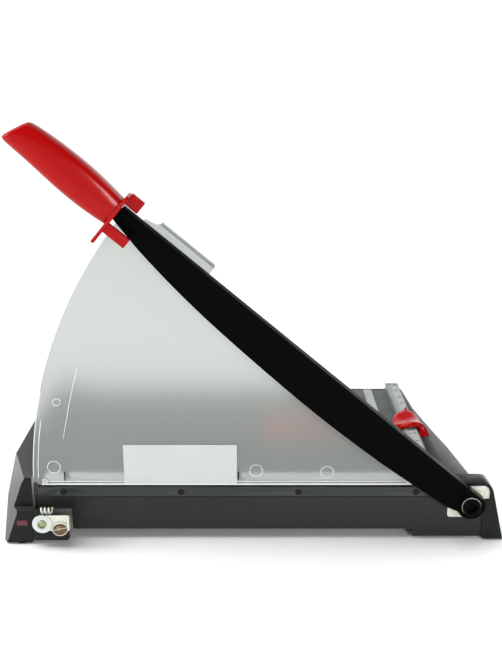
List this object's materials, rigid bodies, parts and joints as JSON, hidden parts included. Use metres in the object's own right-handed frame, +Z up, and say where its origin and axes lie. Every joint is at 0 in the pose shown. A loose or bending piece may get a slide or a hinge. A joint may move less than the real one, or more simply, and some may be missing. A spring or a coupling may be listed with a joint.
{
  "type": "lever-arm paper trimmer",
  "caption": "Guillotine paper trimmer: flat bed, bellied blade arm on a corner pivot, clear finger guard that clamps the sheet, hold-down latch, fence with sliding stop.",
  "frame": {"origin": "centre of the open trimmer's bounding box at desk level", "axes": "+X along the cutting edge from the handle end to the pivot end, +Y from the cutting side across the bed, +Z up"},
  "size_m": [0.455, 0.282, 0.3767],
  "materials": {
    "deck": "fine textured grey paint",
    "casing": "dark slate moulded plastic, fine grain",
    "panel": "satin dark slate paint",
    "blade": "blackened steel, ground top edge",
    "arm": "black semi-gloss powder coat",
    "steel": "ground steel",
    "zinc": "pale zinc plate",
    "chrome": "bright nickel plate",
    "black_steel": "black oxide",
    "brass": "yellow zinc",
    "red": "glossy moulded red",
    "clear": "frosted clear moulded plastic",
    "white": "printed white film",
    "aluminium": "satin anodised",
    "rubber": "matt black rubber"
  },
  "bodies": {
    "base": {"table_deck": "deck", "cutting_side_panel": "panel", "far_side_panel": "panel", "fixed_blade": "blade", "fixed_blade_screw_1": "black_steel", "fixed_blade_screw_2": "black_steel", "fixed_blade_screw_3": "black_steel", "fixed_blade_screw_4": "black_steel", "front_end_cap": "casing", "rear_end_cap": "casing", "fence_rail": "aluminium", "fence_scale": "white", "fence_rail_screw_1": "steel", "fence_rail_screw_2": "steel", "deck_scale": "white", "rubber_foot_1": "rubber", "rubber_foot_2": "rubber", "rubber_foot_3": "rubber", "rubber_foot_4": "rubber", "guard_post_1": "black_steel", "guard_post_2": "black_steel", "guard_post_3": "black_steel", "pivot_bracket": "zinc", "bracket_screw_1": "steel", "bracket_screw_2": "steel", "pivot_bolt": "black_steel", "spring_washer": "steel", "thrust_washer": "brass", "pivot_nut": "steel", "latch_housing": "casing", "latch_screw": "brass", "latch_spring": "steel"},
    "arm": {"arm_bar": "arm", "knife": "steel", "knife_screw_1": "black_steel", "knife_screw_2": "black_steel", "knife_screw_3": "black_steel", "knife_screw_4": "black_steel", "pivot_bush": "brass", "handle_grip": "red", "handle_screw_1": "steel", "handle_screw_2": "steel"},
    "guard": {"guard_plate": "clear", "clamp_foot": "clear", "clamp_pad": "rubber", "guard_label": "white", "guard_screw_1": "steel", "guard_screw_2": "steel"},
    "latch": {"latch_plate": "zinc", "latch_washer": "chrome"},
    "stop": {"paper_stop": "red", "paper_stop_pad": "rubber"}
  },
  "joints": [
    {"name": "arm_swing", "type": "hinge", "parent": "base", "child": "arm", "pos_m": [0.1934, -0.124, 0.0414], "axis": [0, 1, 0], "range_deg": [-39, 15]},
    {"name": "guard_lift", "type": "slide", "parent": "base", "child": "guard", "axis": [0, 0, 1], "range_m": [0, 0.005]},
    {"name": "latch_turn", "type": "hinge", "parent": "base", "child": "latch", "pos_m": [-0.1888, -0.134, 0.0256], "axis": [0, -1, 0], "range_deg": [0, 80]},
    {"name": "stop_slide", "type": "slide", "parent": "base", "child": "stop", "axis": [0, 1, 0], "range_m": [-0.075, 0.084]}
  ]
}
